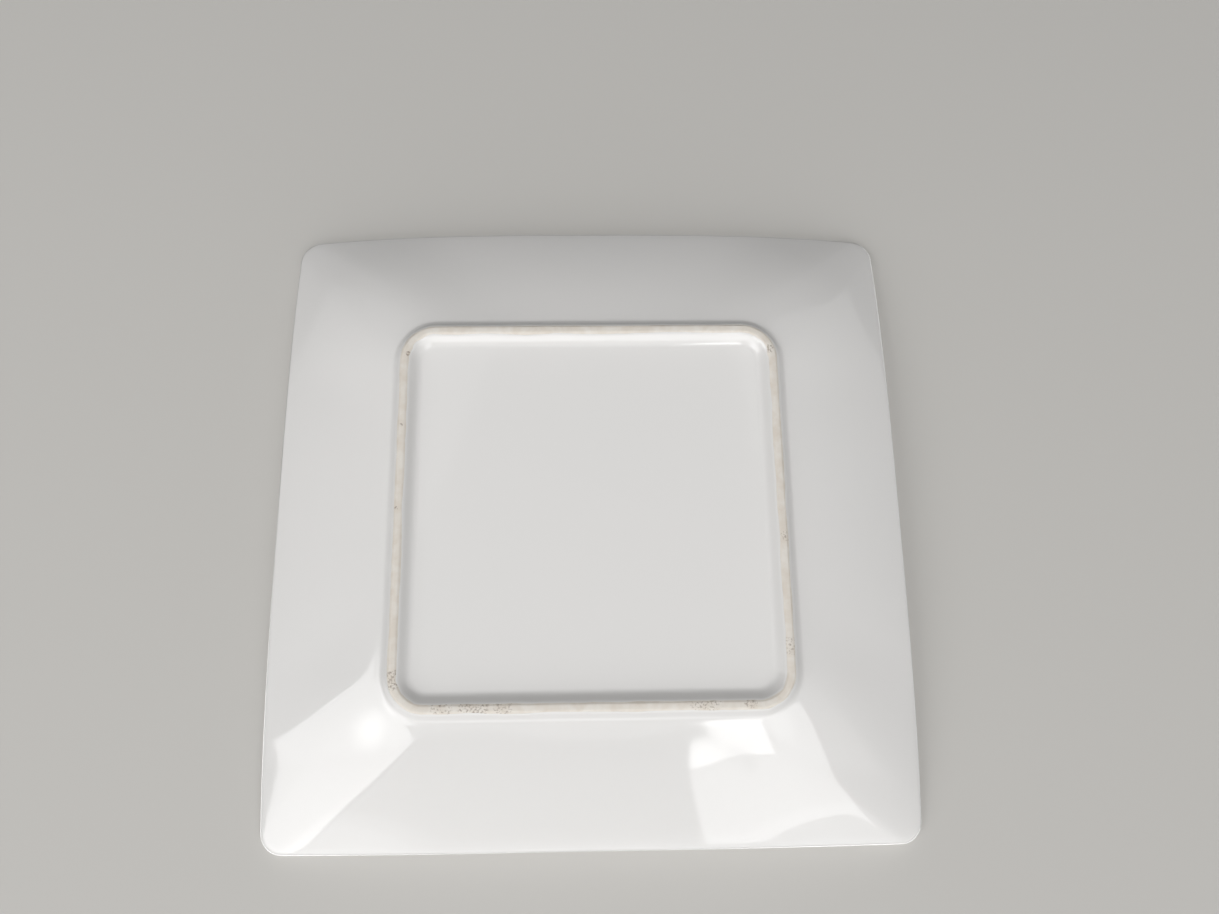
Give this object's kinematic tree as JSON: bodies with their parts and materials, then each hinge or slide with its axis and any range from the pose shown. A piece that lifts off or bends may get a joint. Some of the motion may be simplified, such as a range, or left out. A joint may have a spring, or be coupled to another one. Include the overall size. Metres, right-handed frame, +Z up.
{
  "type": "square dinner plate",
  "caption": "Square white porcelain dinner plate with a shallow well, sloping wall, upswept corners and a bare foot ring; it holds food and stands level on a table.",
  "frame": {"origin": "on the table, at the centre of the foot ring's land, under the middle of the plate", "axes": "+Z up, out of the eating face; +X and +Y square to the plate's sides"},
  "size_m": [0.2616, 0.2616, 0.0331],
  "materials": {
    "fired_clay": "fired white porcelain clay, matt, covered by the glaze",
    "bare_foot_clay": "bare fired clay, ground along its crest, rubbed and a little stained",
    "face_glaze": "clear gloss glaze over white clay",
    "underside_glaze": "clear gloss glaze over white clay, slightly wavy",
    "base_glaze": "clear gloss glaze over white clay, pooled a little at the foot"
  },
  "bodies": {
    "root": {"porcelain_body": "fired_clay", "foot_ring": "bare_foot_clay", "face_glaze": "face_glaze", "underside_glaze": "underside_glaze", "base_glaze": "base_glaze"}
  },
  "joints": []
}
